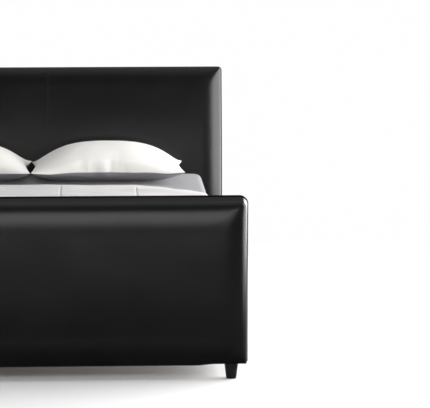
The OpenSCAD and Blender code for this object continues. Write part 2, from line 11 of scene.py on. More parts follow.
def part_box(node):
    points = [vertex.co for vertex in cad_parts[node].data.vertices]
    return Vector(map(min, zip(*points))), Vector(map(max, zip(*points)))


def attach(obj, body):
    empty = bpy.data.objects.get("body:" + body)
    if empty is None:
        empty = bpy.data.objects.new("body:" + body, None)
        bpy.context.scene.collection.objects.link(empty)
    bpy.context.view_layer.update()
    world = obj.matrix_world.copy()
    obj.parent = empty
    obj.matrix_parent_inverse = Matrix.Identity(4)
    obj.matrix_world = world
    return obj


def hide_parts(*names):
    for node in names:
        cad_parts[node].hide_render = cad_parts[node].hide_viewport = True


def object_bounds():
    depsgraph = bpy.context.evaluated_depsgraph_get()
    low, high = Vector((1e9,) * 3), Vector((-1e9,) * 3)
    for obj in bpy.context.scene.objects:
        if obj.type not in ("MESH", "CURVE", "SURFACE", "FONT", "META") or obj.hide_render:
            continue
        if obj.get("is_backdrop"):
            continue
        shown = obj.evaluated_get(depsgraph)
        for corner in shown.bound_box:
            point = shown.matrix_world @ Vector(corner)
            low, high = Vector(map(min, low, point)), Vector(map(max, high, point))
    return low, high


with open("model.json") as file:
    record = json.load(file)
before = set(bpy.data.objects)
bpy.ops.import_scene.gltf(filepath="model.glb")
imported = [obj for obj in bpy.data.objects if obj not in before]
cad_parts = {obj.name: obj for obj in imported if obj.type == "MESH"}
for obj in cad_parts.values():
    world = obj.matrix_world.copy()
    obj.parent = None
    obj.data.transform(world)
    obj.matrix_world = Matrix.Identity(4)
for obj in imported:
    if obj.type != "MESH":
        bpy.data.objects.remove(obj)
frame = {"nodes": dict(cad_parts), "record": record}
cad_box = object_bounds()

# ---- Studio ---------------------------------------------------------------
# A wide pale floor that fades into white. Softboxes above, in front and on
# the right, two strips low in front, and a long lens beyond the footboard.

scene = bpy.context.scene
scene.view_settings.view_transform = "Standard"
MM = 0.001

camera = bpy.data.objects.new("camera", bpy.data.cameras.new("camera"))
camera.location = (0.1426, -13.200, 2.4915)
camera.rotation_euler = Euler((math.radians(90 - 8.112), 0, math.radians(-2.784)))
camera.data.lens = 238.86
camera.data.clip_end = 200
scene.collection.objects.link(camera)
scene.camera = camera


def mesh_object(name, verts, faces):
    """A smooth mesh object at the origin, with its place in its vertices."""
    mesh = bpy.data.meshes.new(name)
    mesh.from_pydata([tuple(v) for v in verts], [], [tuple(f) for f in faces])
    mesh.update()
    obj = bpy.data.objects.new(name, mesh)
    scene.collection.objects.link(obj)
    mesh.shade_smooth()
    mesh.set_sharp_from_angle(angle=math.radians(50))
    return obj


def softbox(name, place, target, size, power, in_gloss):
    """An area light, either mirrored in the leather or left out of it."""
    lamp = bpy.data.lights.new(name, "AREA")
    lamp.shape = "RECTANGLE"
    lamp.size, lamp.size_y = size
    lamp.energy = power
    obj = bpy.data.objects.new(name, lamp)
    obj.location = place
    obj.rotation_euler = (Vector(target) - Vector(place)).to_track_quat("-Z", "Y").to_euler()
    obj.visible_glossy = in_gloss
    obj.visible_camera = False
    scene.collection.objects.link(obj)


softbox("right_box", (2.35, 0.4, 1.15), (0.0, 0.4, 1.05), (4.3, 2.0), 150, True)
softbox("front_strip", (-0.3, -2.25, 0.72), (-0.3, 0.0, 0.72), (2.8, 0.52), 8.2, True)
softbox("low_strip", (-0.3, -2.25, 0.31), (-0.3, 0.0, 0.31), (2.8, 0.30), 0.4, True)
softbox("ceiling_box", (0.9, -0.4, 5.5), (0, -0.2, 0.5), (6.0, 7.0), 74, False)
softbox("front_box", (-1.0, -7.5, 3.4), (0, 0, 0.6), (5.0, 2.5), 60, False)
softbox("floor_fill", (0.4, -4.6, 0.32), (0, 0, 0.05), (4.5, 0.5), 80, False)


def add_node(tree, kind, sockets=None, **settings):
    """Adds a node. Each socket takes a value, or a link from another socket."""
    made = tree.nodes.new(kind)
    for label, value in settings.items():
        setattr(made, label, value)
    for key, value in (sockets or {}).items():
        if isinstance(value, bpy.types.NodeSocket):
            tree.links.new(value, made.inputs[key])
        else:
            made.inputs[key].default_value = value
    return made


def math_node(tree, operation, *values):
    return add_node(tree, "ShaderNodeMath", dict(enumerate(values)), operation=operation).outputs[0]


def ramp_node(tree, source, low, high, low_value, high_value):
    """A soft step between two values of the source."""
    return add_node(tree, "ShaderNodeMapRange",
                    {"Value": source, "From Min": low, "From Max": high, "To Min": low_value,
                     "To Max": high_value}, interpolation_type="SMOOTHSTEP").outputs["Result"]


world = bpy.data.worlds.new("studio")
scene.world = world
world.use_nodes = True
sky = world.node_tree
sky.nodes.clear()
sky_coords = add_node(sky, "ShaderNodeTexCoord")
sky_axes = add_node(sky, "ShaderNodeSeparateXYZ", {0: sky_coords.outputs["Generated"]}).outputs
below = ramp_node(sky, sky_axes["Z"], -0.55, -0.12, 0.03, 0.24)
above = ramp_node(sky, sky_axes["Z"], 0.10, 0.50, 1.0, 0.62)
overhead = ramp_node(sky, sky_axes["Z"], 0.55, 1.0, 0.0, 0.55)
wall_behind = math_node(sky, "MULTIPLY", ramp_node(sky, sky_axes["Y"], 0.05, 0.75, 0.0, 0.20),
                        ramp_node(sky, sky_axes["Z"], 0.15, 0.5, 1.0, 0.0))
glow = math_node(sky, "ADD", math_node(sky, "MULTIPLY", below, above), overhead)
glow = math_node(sky, "ADD", glow, wall_behind)
lit = add_node(sky, "ShaderNodeBackground", {"Strength": glow})
white = add_node(sky, "ShaderNodeBackground", {"Color": (0.995, 0.995, 1.0, 1)})
seen = add_node(sky, "ShaderNodeLightPath").outputs["Is Camera Ray"]
chosen = add_node(sky, "ShaderNodeMixShader", {0: seen, 1: lit.outputs[0], 2: white.outputs[0]})
add_node(sky, "ShaderNodeOutputWorld", {"Surface": chosen.outputs[0]})

FLOOR_HALF = 9.0
floor = mesh_object("studio_floor",
                    [(-FLOOR_HALF, -FLOOR_HALF, 0), (FLOOR_HALF, -FLOOR_HALF, 0),
                     (FLOOR_HALF, FLOOR_HALF, 0), (-FLOOR_HALF, FLOOR_HALF, 0)], [(0, 1, 2, 3)])
floor.visible_glossy = False
floor_mat = bpy.data.materials.new("floor_white")
floor_mat.use_nodes = True
floor_tree = floor_mat.node_tree
floor_bsdf = floor_tree.nodes["Principled BSDF"]
floor_bsdf.inputs["Base Color"].default_value = (0.93, 0.93, 0.935, 1)
floor_bsdf.inputs["Roughness"].default_value = 0.8
floor_bsdf.inputs["Specular IOR Level"].default_value = 0.0
floor_coords = add_node(floor_tree, "ShaderNodeTexCoord")
floor_reach = add_node(floor_tree, "ShaderNodeVectorMath", {0: floor_coords.outputs["Object"]},
                       operation="LENGTH")
floor_tree.links.new(ramp_node(floor_tree, floor_reach.outputs["Value"], 1.6, 3.2, 1.0, 0.0),
                     floor_bsdf.inputs["Alpha"])
floor.data.materials.append(floor_mat)
floor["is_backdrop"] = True


# ---- Leather --------------------------------------------------------------
# Black full-grain hide with a soft semi-gloss finish. It covers the boards,
# the welts and the side rails, stretched over foam.

def new_group(name, inputs, outputs):
    """A shader node group with named float or colour sockets."""
    group = bpy.data.node_groups.new(name, "ShaderNodeTree")
    for label, kind, value in inputs:
        socket = group.interface.new_socket(label, in_out="INPUT", socket_type=kind)
        if value is not None:
            socket.default_value = value
    for label, kind in outputs:
        group.interface.new_socket(label, in_out="OUTPUT", socket_type=kind)
    return group, group.nodes.new("NodeGroupInput"), group.nodes.new("NodeGroupOutput")


def mix_colour(tree, factor, a, b):
    return add_node(tree, "ShaderNodeMix", {"Factor": factor, 6: a, 7: b}, data_type="RGBA").outputs[2]


def object_coords(tree):
    return add_node(tree, "ShaderNodeTexCoord").outputs["Object"]


def clouds(tree, place, scale, detail):
    """Soft noise at a given number of cells per metre."""
    sockets = {"Vector": place, "Scale": scale, "Detail": detail}
    return add_node(tree, "ShaderNodeTexNoise", sockets).outputs["Fac"]


def build_grain():
    """Pebbled grain with finer pores between, and slow changes in the finish."""
    group, gin, gout = new_group(
        "hide_grain",
        [("Grain per Metre", "NodeSocketFloat", 520.0), ("Finish", "NodeSocketFloat", 0.24),
         ("Finish Change", "NodeSocketFloat", 0.1)],
        [("Height", "NodeSocketFloat"), ("Roughness", "NodeSocketFloat"), ("Shade", "NodeSocketFloat")])
    place = object_coords(group)
    per_metre = gin.outputs["Grain per Metre"]
    pebble = add_node(group, "ShaderNodeTexVoronoi", {"Vector": place, "Scale": per_metre},
                      feature="DISTANCE_TO_EDGE")
    pore = clouds(group, place, math_node(group, "MULTIPLY", per_metre, 2.7), 3)
    slow = clouds(group, place, 5.5, 4)
    ridge = math_node(group, "MINIMUM", math_node(group, "MULTIPLY", pebble.outputs["Distance"], 4.0), 0.8)
    height = math_node(group, "ADD", ridge, math_node(group, "MULTIPLY", pore, 0.35))
    rough = math_node(group, "MULTIPLY_ADD", math_node(group, "SUBTRACT", slow, 0.5),
                      gin.outputs["Finish Change"], gin.outputs["Finish"])
    rough = math_node(group, "MULTIPLY_ADD", ridge, -0.03, rough)
    for label, value in (("Height", height), ("Roughness", rough), ("Shade", slow)):
        group.links.new(value, gout.inputs[label])
    return group


hide_grain = build_grain()


def principled(name, roughness):
    material = bpy.data.materials.new(name)
    material.use_nodes = True
    shader = material.node_tree.nodes["Principled BSDF"]
    shader.inputs["Roughness"].default_value = roughness
    return material, material.node_tree, shader


def set_colour(tree, shader, factor, a, b):
    tree.links.new(mix_colour(tree, factor, a, b), shader.inputs["Base Color"])


def add_bump(tree, shader, height, strength, distance, under=None):
    sockets = {"Strength": strength, "Distance": distance, "Height": height}
    if under is not None:
        sockets["Normal"] = under
    normal = add_node(tree, "ShaderNodeBump", sockets).outputs["Normal"]
    tree.links.new(normal, shader.inputs["Normal"])
    return normal


def leather_material(name, finish, gloss):
    material, tree, shader = principled(name, finish)
    grain = add_node(tree, "ShaderNodeGroup", node_tree=hide_grain)
    grain.inputs["Finish"].default_value = finish
    set_colour(tree, shader, grain.outputs["Shade"], (0.0020, 0.0020, 0.0022, 1), (0.0045, 0.0045, 0.0048, 1))
    tree.links.new(grain.outputs["Roughness"], shader.inputs["Roughness"])
    shader.inputs["Specular IOR Level"].default_value = gloss
    add_bump(tree, shader, grain.outputs["Height"], 0.3, 0.14 * MM)
    return material


black_leather = leather_material("black_leather", 0.24, 0.5)


# ---- Board shapes ---------------------------------------------------------
# Both boards stand upright and then follow an arc away from the bed. A pad
# is drawn as rings that run in from the outline, so that its edges roll over
# evenly and meet in soft mitres at the corners.

BOARD_T = 110 * MM
WELT_D = 8 * MM
COVER_T = 1.5 * MM
PANEL_T = 5 * MM
SIDE_PAD_T = 18 * MM
BASE_PAD_T = 4 * MM
WELT_PLANE = BOARD_T - COVER_T - WELT_D


def board(side, bend_z, lean, pad_t, corner_r, face_y, top_z, cover):
    low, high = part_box(cover)
    rise = top_z - bend_z
    radius = (rise ** 2 + lean ** 2) / (2 * lean)
    return {"side": side, "bend_z": bend_z, "radius": radius, "pad_t": pad_t, "corner_r": corner_r,
            "face_y": face_y, "base_z": low[2], "half_w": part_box("headboard_back_cover")[1][0],
            "length": bend_z - low[2] + radius * math.asin(rise / radius) + (10 * MM if side > 0 else 2 * MM)}


head = board(1, 0.450, 0.060, 40 * MM, 20 * MM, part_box("headboard_cover_left")[0][1],
             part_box("headboard_cover_left")[1][2], "headboard_cover_left")
foot = board(-1, 0.350, 0.035, 50 * MM, 40 * MM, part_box("footboard_back_cover")[1][1],
             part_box("footboard_back_cover")[1][2], "footboard_cover")


def on_board(b, x, s, d):
    """Places across x, along the board's height s, and d away from the bed."""
    turn = np.maximum(s - (b["bend_z"] - b["base_z"]), 0) / b["radius"]
    out = b["radius"] - (b["radius"] - d) * np.cos(turn)
    up = np.where(turn > 0, b["bend_z"] + (b["radius"] - d) * np.sin(turn), b["base_z"] + s)
    return np.stack([x + 0 * s, b["face_y"] + b["side"] * out + 0 * x, up + 0 * x], axis=-1)


def rolled_edge(start, wall, crown, roll, power):
    """Profile of a pad's edge as (set in, depth): a near-upright wall from
    start to wall, then a superellipse that flattens over "roll" to the crown."""
    samples = 14
    near = 0.55 * start[0]
    points = [start, (0.7 * start[0], start[1] + 0.05 * (wall[1] - start[1]))]
    for k in range(4):
        f = 0.12 + 0.22 * k
        points.append((near + (wall[0] - near) * (f - 0.12), start[1] + f * (wall[1] - start[1])))
    depth = wall[1] - crown
    for k in range(samples + 1):
        a = math.pi / 2 * k / samples
        points.append((wall[0] + roll * (1 - math.cos(a) ** (2 / power)),
                       wall[1] - depth * math.sin(a) ** (2 / power)))
    return np.array(points)


def ring_lines(q_end, q_half, fine, coarse):
    """Ring numbers from an outline to the middle, close together at the edge."""
    far = np.linspace(q_end, q_half, coarse + 1)[1:]
    return np.concatenate([fine, far])


def pad_grid(b, profile, plain=False, corner_r=None, crown=(0, 0), wave=0.0):
    """Grid of points over a pad. Its depth counts from the padded face, or
    from the plain face. A crown lets the base and the top fall
    back from the middle by its two depths."""
    coarse_x, coarse_s = 22, 14
    step = np.hypot(*np.diff(profile, axis=0).T)
    q = np.concatenate([[0], np.cumsum(step)])
    t, p = profile[:, 0], profile[:, 1]
    half_w, half_s = b["half_w"], b["length"] / 2
    spare = q[-1] - t[-1]
    qx = ring_lines(q[-1], half_w + spare, q, coarse_x)
    qs = ring_lines(q[-1], half_s + spare, q, coarse_s)
    qx = np.concatenate([qx, qx[-2::-1]])
    qs = np.concatenate([qs, qs[-2::-1]])
    left = np.arange(len(qx)) < (len(qx) + 1) // 2
    low = np.arange(len(qs)) < (len(qs) + 1) // 2
    gx, gs = np.meshgrid(qx, qs)
    ring = np.minimum(gx, gs)
    at = np.where(ring < q[-1], np.interp(ring, q, t), ring - spare)
    share_x = (gx - ring) / np.maximum(half_w + spare - ring, 1e-9)
    share_s = (gs - ring) / np.maximum(half_s + spare - ring, 1e-9)
    in_x = at + share_x * (half_w - at)
    in_s = at + share_s * (half_s - at)
    radius = b["corner_r"] if corner_r is None else corner_r
    a, c = radius - in_x, radius - in_s
    m = np.maximum(a, c)
    turn = np.where(a >= c, math.pi / 4 * c / np.maximum(a, 1e-9),
                    math.pi / 2 - math.pi / 4 * a / np.maximum(c, 1e-9))
    top_rows = ~low[:, None] & (a > 0) & (c > 0)
    in_x = np.where(top_rows, radius - m * np.cos(turn), in_x)
    in_s = np.where(top_rows, radius - m * np.sin(turn), in_s)
    wall_q = q[6]
    base_rows = low[:, None] & (gs <= gx)
    lift = np.where(base_rows, np.interp(ring, [0, wall_q], [0, 1]) * t[6], 0)
    lift = np.where(base_rows & (ring < wall_q), at, lift)
    in_s = np.where(low[:, None], np.maximum(in_s - lift, 0), in_s)
    soft = 30 * MM
    blend = np.clip(0.5 + 0.5 * (gs - gx) / soft, 0, 1)
    smooth_ring = gs * (1 - blend) + gx * blend - soft * blend * (1 - blend)
    ease = np.clip((ring / q[-1] - 0.30) / 0.35, 0, 1)
    smooth_ring = ring + (smooth_ring - ring) * ease * ease * (3 - 2 * ease)
    depth = np.interp(np.clip(smooth_ring, 0, q[-1]), q, p)
    x = np.where(left[None, :], in_x - half_w, half_w - in_x)
    s = np.where(low[:, None], in_s, 2 * half_s - in_s)
    if crown[0]:
        u, v = x / half_w, s / half_s - 1
        fall = np.where(v < 0, crown[0], crown[1]) * v ** 2 + 5 * MM * np.abs(u) ** 6
        depth = depth + fall * np.clip((ring - wall_q) / (q[-1] - wall_q), 0, 1)
    if wave:
        slow = np.array([[noise.noise(Vector((x[i, j] * 3.1, s[i, j] * 4.2, b["side"] * 7.0)))
                          + 0.22 * noise.noise(Vector((x[i, j] * 9.0, s[i, j] * 12.0, b["side"] * 3.0)))
                          for j in range(x.shape[1])] for i in range(x.shape[0])])
        depth = depth + wave * (slow + 0.6) * np.clip(ring / q[-1], 0, 1)
    if not plain:
        low_rows = low[:, None] & (s < 40 * MM)
        inner = np.clip((half_w - 0.16 - np.abs(x)) / 0.05, 0, 1)
        s = np.where(low_rows, s - 6 * MM * inner * np.clip(1 - s / (40 * MM), 0, 1), s)
    from_bed = depth if (b["side"] > 0) != plain else BOARD_T - depth
    return on_board(b, x, s, from_bed), x


def grid_faces(rows, cols, flip=False, offset=0):
    faces = []
    for i in range(rows - 1):
        for j in range(cols - 1):
            a = offset + i * cols + j
            quad = (a, a + 1, a + cols + 1, a + cols)
            faces.append(quad[::-1] if flip else quad)
    return faces


def border(rows, cols, offset=0):
    """The outline of a grid as one closed loop of vertex numbers."""
    loop = [offset + j for j in range(cols)]
    loop += [offset + i * cols + cols - 1 for i in range(1, rows)]
    loop += [offset + (rows - 1) * cols + j for j in range(cols - 2, -1, -1)]
    loop += [offset + i * cols for i in range(rows - 2, 0, -1)]
    return loop


def set_in(points, flip, depth):
    """A grid moved inwards along its own normals."""
    du = np.gradient(points, axis=1)
    dv = np.gradient(points, axis=0)
    normal = np.cross(du, dv)
    normal /= np.maximum(np.linalg.norm(normal, axis=-1, keepdims=True), 1e-12)
    return points + normal * (depth if flip else -depth)


def between(name, outer, inner, outer_flip):
    """A closed solid between two grids that share their numbering."""
    rows, cols = outer.shape[:2]
    count = rows * cols
    verts = np.concatenate([outer.reshape(-1, 3), inner.reshape(-1, 3)])
    faces = grid_faces(rows, cols, outer_flip) + grid_faces(rows, cols, not outer_flip, count)
    top, under = border(rows, cols), border(rows, cols, count)
    for k in range(len(top)):
        n = (k + 1) % len(top)
        quad = (top[k], under[k], under[n], top[n])
        faces.append(quad[::-1] if outer_flip else quad)
    return mesh_object(name, verts, faces)


def finish_piece(obj, body, slot, material, *nodes):
    """Material, body and the CAD nodes that a piece stands for. The slot argument is not used."""
    obj.data.materials.clear()
    obj.data.materials.append(material)
    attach(obj, body)
    if nodes:
        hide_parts(*nodes)
    return obj


# ---- Headboard upholstery -------------------------------------------------
# Foam glued over the plywood front and round its edges, under two leather
# halves that are sewn together on the centre line and pulled to the back.

def foam_material():
    material, tree, shader = principled("upholstery_foam", 0.95)
    cells = add_node(tree, "ShaderNodeTexVoronoi", {"Vector": object_coords(tree), "Scale": 900})
    cells = cells.outputs["Distance"]
    set_colour(tree, shader, cells, (0.72, 0.64, 0.42, 1), (0.86, 0.80, 0.60, 1))
    add_bump(tree, shader, cells, 0.5, 0.6 * MM)
    return material


foam = foam_material()
HEAD_ROLL = rolled_edge((6 * MM, WELT_PLANE), (8 * MM, 40 * MM), 0.0, 108 * MM, 2.0)
SEAM_W = 1.6 * MM
SEAM_DEPTH = 0.6 * MM
SEAM_COLUMNS = [0.03, 0.06, 0.09, 0.13, 0.2, 0.4]


def inner_profile(b, plain=False):
    """Where a pad meets the frame: up the frame's side, then over its panel."""
    panel = COVER_T + WELT_D if plain else COVER_T + b["pad_t"]
    edge = 10 * MM if plain else COVER_T + SIDE_PAD_T
    start = WELT_D - 1.5 * MM if plain else WELT_PLANE
    wall = [(edge, start + (panel - start) * k / 6) for k in range(7)]
    return np.array(wall + [(edge + 4 * MM * k, panel) for k in range(1, 15)])


def split_seam(points, x):
    """Presses a narrow groove along the centre line."""
    shifted = points.copy()
    shifted[..., 1] += np.exp(-(x / SEAM_W) ** 2) * SEAM_DEPTH
    return shifted


def add_centre_columns(points, x, at):
    """Extra columns beside the centre line, so that the seam has a shape."""
    middle = points.shape[1] // 2
    left = [points[:, middle] * (1 - f) + points[:, middle - 1] * f for f in at[::-1]]
    right = [points[:, middle] * (1 - f) + points[:, middle + 1] * f for f in at]
    xs_left = [x[:, middle] * (1 - f) + x[:, middle - 1] * f for f in at[::-1]]
    xs_right = [x[:, middle] * (1 - f) + x[:, middle + 1] * f for f in at]
    grid = np.concatenate([points[:, :middle], np.stack(left, 1), points[:, middle:middle + 1],
                           np.stack(right, 1), points[:, middle + 1:]], axis=1)
    across = np.concatenate([x[:, :middle], np.stack(xs_left, 1), x[:, middle:middle + 1],
                             np.stack(xs_right, 1), x[:, middle + 1:]], axis=1)
    return grid, across


HEAD_CROWN = (4 * MM, 4 * MM)
HEAD_WAVE = 1.2 * MM
head_pad, head_x = pad_grid(head, HEAD_ROLL, crown=HEAD_CROWN, wave=HEAD_WAVE)
head_pad, head_x = add_centre_columns(head_pad, head_x, SEAM_COLUMNS)
head_pad = split_seam(head_pad, head_x)
mid = head_pad.shape[1] // 2
for side_name, part in (("left", head_pad[:, :mid + 1]), ("right", head_pad[:, mid:])):
    half = between("headboard_leather_" + side_name, part, set_in(part, False, COVER_T), False)
    finish_piece(half, "bed_frame", "leather", black_leather, "headboard_cover_" + side_name)


def inner_grid(b, plain=False):
    corner_r = max(2 * MM, b["corner_r"] - 10 * MM) if plain else 2 * MM
    return pad_grid(b, inner_profile(b, plain), plain=plain, corner_r=corner_r)[0]


def foam_piece(name, b, profile, node, crown, wave):
    outer, across = pad_grid(b, profile, crown=crown, wave=wave)
    outer = set_in(outer, False, COVER_T + 0.3 * MM)
    inner = inner_grid(b)
    if b["side"] > 0:
        outer, wide = add_centre_columns(outer, across, SEAM_COLUMNS)
        inner, _ = add_centre_columns(inner, across, SEAM_COLUMNS)
        outer = split_seam(outer, wide)
    piece = between(name, outer, inner, False)
    finish_piece(piece, "bed_frame", "foam", foam, node)


foam_piece("headboard_foam_pad", head, HEAD_ROLL, "headboard_foam", HEAD_CROWN, HEAD_WAVE)

# ---- Footboard upholstery -------------------------------------------------
# One hide covers the thick foam on the outside of the footboard and is
# pulled round the top and the ends to the welt on the bed side.

FOOT_ROLL = rolled_edge((6 * MM, WELT_PLANE), (9 * MM, 50 * MM), 0.0, 130 * MM, 2.15)
FOOT_CROWN = (24 * MM, 8 * MM)
FOOT_WAVE = 1.6 * MM
foot_pad, _ = pad_grid(foot, FOOT_ROLL, crown=FOOT_CROWN, wave=FOOT_WAVE)
foot_leather = between("footboard_leather", foot_pad, set_in(foot_pad, False, COVER_T), False)
finish_piece(foot_leather, "bed_frame", "leather", black_leather, "footboard_cover")
foam_piece("footboard_foam_pad", foot, FOOT_ROLL, "footboard_foam", FOOT_CROWN, FOOT_WAVE)


# ---- Backs of the boards --------------------------------------------------
# A thin pad and a flat leather cover close the bed side of the footboard and
# the wall side of the headboard, and tuck in behind the welt.

BACK_EDGE = rolled_edge((1.5 * MM, WELT_D), (4 * MM, WELT_D - 1 * MM), 0.0, 26 * MM, 2.0)
BACK_PAD_EDGE = rolled_edge((3.8 * MM, WELT_D - 1.5 * MM), (6.2 * MM, WELT_D - 2 * MM), COVER_T + 0.3 * MM,
                            26 * MM, 2.0)


def back_pieces(name, b):
    grid, _ = pad_grid(b, BACK_EDGE, plain=True, wave=0.6 * MM)
    hide = between(name + "_back_leather", grid, set_in(grid, True, COVER_T), True)
    finish_piece(hide, "bed_frame", "leather", black_leather, name + "_back_cover")
    outer, _ = pad_grid(b, BACK_PAD_EDGE, plain=True, wave=0.6 * MM)
    inner = inner_grid(b, plain=True)
    pad = between(name + "_back_padding", outer, inner, True)
    finish_piece(pad, "bed_frame", "foam", foam, name + "_back_pad")


back_pieces("headboard", head)
back_pieces("footboard", foot)


# ---- Welts ----------------------------------------------------------------
# A leather-covered cord is sewn into the joint between each board's cover
# and its back, up one side, over the top and down the other.

def set_inputs(modifier, group, values):
    """Sets a modifier's inputs by their sockets' identifiers."""
    for item in group.interface.items_tree:
        if item.item_type == "SOCKET" and item.in_out == "INPUT" and item.name in values:
            modifier[item.identifier] = values[item.name]


def new_tree(name, inputs):
    group = bpy.data.node_groups.new(name, "GeometryNodeTree")
    group.interface.new_socket("Geometry", in_out="INPUT", socket_type="NodeSocketGeometry")
    for label, kind, value in inputs:
        socket = group.interface.new_socket(label, in_out="INPUT", socket_type=kind)
        if value is not None:
            socket.default_value = value
    group.interface.new_socket("Geometry", in_out="OUTPUT", socket_type="NodeSocketGeometry")
    return group, group.nodes.new("NodeGroupInput"), group.nodes.new("NodeGroupOutput")


def close_tree(group, geometry, gin, gout):
    """Ends a tree with real geometry in the piece's material."""
    real = add_node(group, "GeometryNodeRealizeInstances", {0: geometry}).outputs[0]
    painted = add_node(group, "GeometryNodeSetMaterial",
                       {"Geometry": real, "Material": gin.outputs["Material"]})
    group.links.new(painted.outputs[0], gout.inputs[0])


def piping_tree():
    """A round cord along a path."""
    group, gin, gout = new_tree("sewn_piping", [("Radius", "NodeSocketFloat", 0.004),
                                                ("Material", "NodeSocketMaterial", None)])
    path = add_node(group, "GeometryNodeMeshToCurve", {0: gin.outputs["Geometry"]})
    ring = add_node(group, "GeometryNodeCurvePrimitiveCircle",
                    {"Resolution": 14, "Radius": gin.outputs["Radius"]})
    tube = add_node(group, "GeometryNodeCurveToMesh",
                    {"Curve": path.outputs[0], "Profile Curve": ring.outputs[0], "Fill Caps": True})
    smooth = add_node(group, "GeometryNodeSetShadeSmooth", {0: tube.outputs[0]})
    close_tree(group, smooth.outputs[0], gin, gout)
    return group


def stitch_tree():
    """Short sunk stitches at an even pitch along a path."""
    group, gin, gout = new_tree("sewn_stitches", [("Pitch", "NodeSocketFloat", 0.006),
                                                  ("Length", "NodeSocketFloat", 0.0042),
                                                  ("Thread", "NodeSocketFloat", 0.0006),
                                                  ("Material", "NodeSocketMaterial", None)])
    path = add_node(group, "GeometryNodeMeshToCurve", {0: gin.outputs["Geometry"]})
    points = add_node(group, "GeometryNodeCurveToPoints",
                      {"Curve": path.outputs[0], "Length": gin.outputs["Pitch"]}, mode="LENGTH")
    stitch = add_node(group, "GeometryNodeMeshCylinder",
                      {"Vertices": 6, "Radius": gin.outputs["Thread"], "Depth": gin.outputs["Length"]})
    placed = add_node(group, "GeometryNodeInstanceOnPoints",
                      {"Points": points.outputs["Points"], "Rotation": points.outputs["Rotation"],
                       "Instance": stitch.outputs["Mesh"]})
    close_tree(group, placed.outputs[0], gin, gout)
    return group


piping = piping_tree()
stitches = stitch_tree()


def along_path(name, paths, group, values):
    """Runs a tree along one or more paths and keeps the result as a mesh."""
    verts, edges = [], []
    for path in paths:
        first = len(verts)
        verts += [tuple(p) for p in path]
        edges += [(first + i, first + i + 1) for i in range(len(path) - 1)]
    mesh = bpy.data.meshes.new(name + "_path")
    mesh.from_pydata(verts, edges, [])
    guide = bpy.data.objects.new(name + "_path", mesh)
    scene.collection.objects.link(guide)
    modifier = guide.modifiers.new("run", "NODES")
    modifier.node_group = group
    set_inputs(modifier, group, values)
    bpy.context.view_layer.update()
    shown = guide.evaluated_get(bpy.context.evaluated_depsgraph_get())
    made = bpy.data.meshes.new_from_object(shown)
    bpy.data.objects.remove(guide)
    obj = bpy.data.objects.new(name, made)
    scene.collection.objects.link(obj)
    return obj


def welt_path(b, inset, depth):
    """Up one side of a board, round its top corners and down the other."""
    r = b["corner_r"] - inset
    top = b["length"] - inset
    side = b["half_w"] - inset
    points = [(side, s) for s in np.linspace(2 * MM, top - r, 60)]
    points += [(side - r + r * math.cos(a), top - r + r * math.sin(a))
               for a in np.linspace(0, math.pi / 2, 13)[1:]]
    points += [(x, top) for x in np.linspace(side - r, 0, 30)[1:]]
    points += [(-x, s) for x, s in points[-2::-1]]
    x, s = np.array(points).T
    return on_board(b, x, s, depth)


piping_leather = leather_material("piping_leather", 0.42, 0.02)
WELT_SIDE = 3.9 * MM
for name, b in (("headboard", head), ("footboard", foot)):
    depth = BOARD_T - COVER_T - WELT_D / 2 if b["side"] > 0 else COVER_T + WELT_D / 2
    welt = along_path(name + "_piped_welt", [welt_path(b, WELT_SIDE, depth)], piping,
                      {"Radius": 4.1 * MM, "Material": piping_leather})
    finish_piece(welt, "bed_frame", "leather", piping_leather, name + "_welt")

# ---- Seam stitches --------------------------------------------------------
# The headboard's two leather halves are top-stitched in waxed black thread,
# one row on each side of the seam.


def thread_material():
    material, tree, shader = principled("waxed_black_thread", 0.55)
    twist = add_node(tree, "ShaderNodeTexWave", {"Vector": object_coords(tree), "Scale": 900}).outputs["Fac"]
    set_colour(tree, shader, twist, (0.008, 0.008, 0.009, 1), (0.02, 0.02, 0.022, 1))
    add_bump(tree, shader, twist, 0.4, 0.1 * MM)
    return material


black_thread = thread_material()
STITCH = {"Pitch": 6.5 * MM, "Length": 4.4 * MM, "Thread": 0.55 * MM, "Material": black_thread}


def column_at(grid, x, at):
    """The line on a pad's grid where it is a given distance across."""
    line = []
    for row, across in zip(grid, x):
        k = int(np.searchsorted(across, at))
        k = min(max(k, 1), len(across) - 1)
        f = (at - across[k - 1]) / max(across[k] - across[k - 1], 1e-9)
        line.append(row[k - 1] * (1 - f) + row[k] * f)
    return np.array(line)


seam_rows = [column_at(head_pad, head_x, at)[8:-14] - (0, 0.2 * MM, 0) for at in (-5.5 * MM, 5.5 * MM)]
seam_stitches = along_path("headboard_seam_stitches", seam_rows, stitches, STITCH)
finish_piece(seam_stitches, "bed_frame", "leather", black_thread)

# ---- Side rails -----------------------------------------------------------
# A softwood core with foam over its outer face and its top, wrapped in one
# hide that is closed underneath. Both ends butt against the boards.


def rounded_outline(corners, steps=7):
    """A closed outline through corners given as (x, z, radius)."""
    points = []
    count = len(corners)
    for i, (x, z, r) in enumerate(corners):
        here = Vector((x, z))
        to_last = (Vector(corners[i - 1][:2]) - here).normalized()
        to_next = (Vector(corners[(i + 1) % count][:2]) - here).normalized()
        if r == 0:
            points.append(tuple(here))
            continue
        a, c = here + to_last * r, here + to_next * r
        for k in range(steps + 1):
            f = k / steps
            points.append(tuple(a * (1 - f) ** 2 + here * 2 * f * (1 - f) + c * f ** 2))
    return points


def divided(points, longest):
    """The same outline with its long sides divided."""
    out = []
    for i, p in enumerate(points):
        n = points[(i + 1) % len(points)]
        parts = max(1, int(math.hypot(n[0] - p[0], n[1] - p[1]) / longest))
        out += [(p[0] + (n[0] - p[0]) * k / parts, p[1] + (n[1] - p[1]) * k / parts) for k in range(parts)]
    return out


